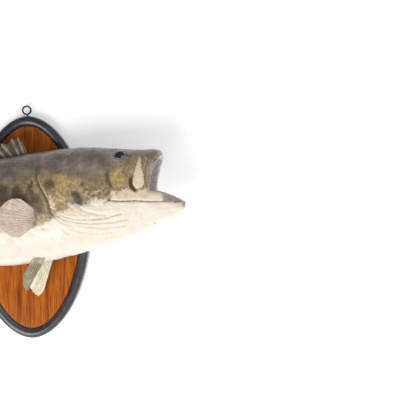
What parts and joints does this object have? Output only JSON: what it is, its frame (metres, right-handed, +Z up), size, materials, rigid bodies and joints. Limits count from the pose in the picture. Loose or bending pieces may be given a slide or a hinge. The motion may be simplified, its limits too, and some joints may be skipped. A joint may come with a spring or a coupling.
{
  "type": "mounted largemouth bass",
  "caption": "Skin-mounted largemouth bass with open mouth and swung tail, fixed flat to an oval wooden wall plaque with a screw eye to hang it by.",
  "frame": {"origin": "centre of the plaque's flat back", "axes": "+X towards the fish's head, +Y into the wall, +Z up"},
  "size_m": [0.5541, 0.1923, 0.3433],
  "materials": {
    "plaque_wood": "stained and satin varnished",
    "plaque_rim": "ebonised, satin",
    "black_steel": "black, semi-gloss",
    "bass_skin": "tanned fish skin, painted and varnished",
    "bass_fins": "dried fin, painted and varnished",
    "glass_eye": "polished",
    "mouth_lining": "painted, satin"
  },
  "bodies": {
    "root": {"plaque_panel": "plaque_wood", "plaque_rim": "plaque_rim", "screw_eye": "black_steel", "head": "bass_skin", "lower_jaw": "bass_skin", "gill_cover_right": "bass_skin", "gill_cover_left": "bass_skin", "maxilla_right": "bass_skin", "maxilla_left": "bass_skin", "eye_right": "glass_eye", "eye_left": "glass_eye", "tongue": "mouth_lining", "trunk": "bass_skin", "tail": "bass_skin", "dorsal_fin_spiny": "bass_fins", "dorsal_fin_soft": "bass_fins", "anal_fin": "bass_fins", "caudal_fin": "bass_fins", "pectoral_fin_right": "bass_fins", "pectoral_fin_left": "bass_fins", "pelvic_fin_right": "bass_fins", "pelvic_fin_left": "bass_fins"}
  },
  "joints": []
}
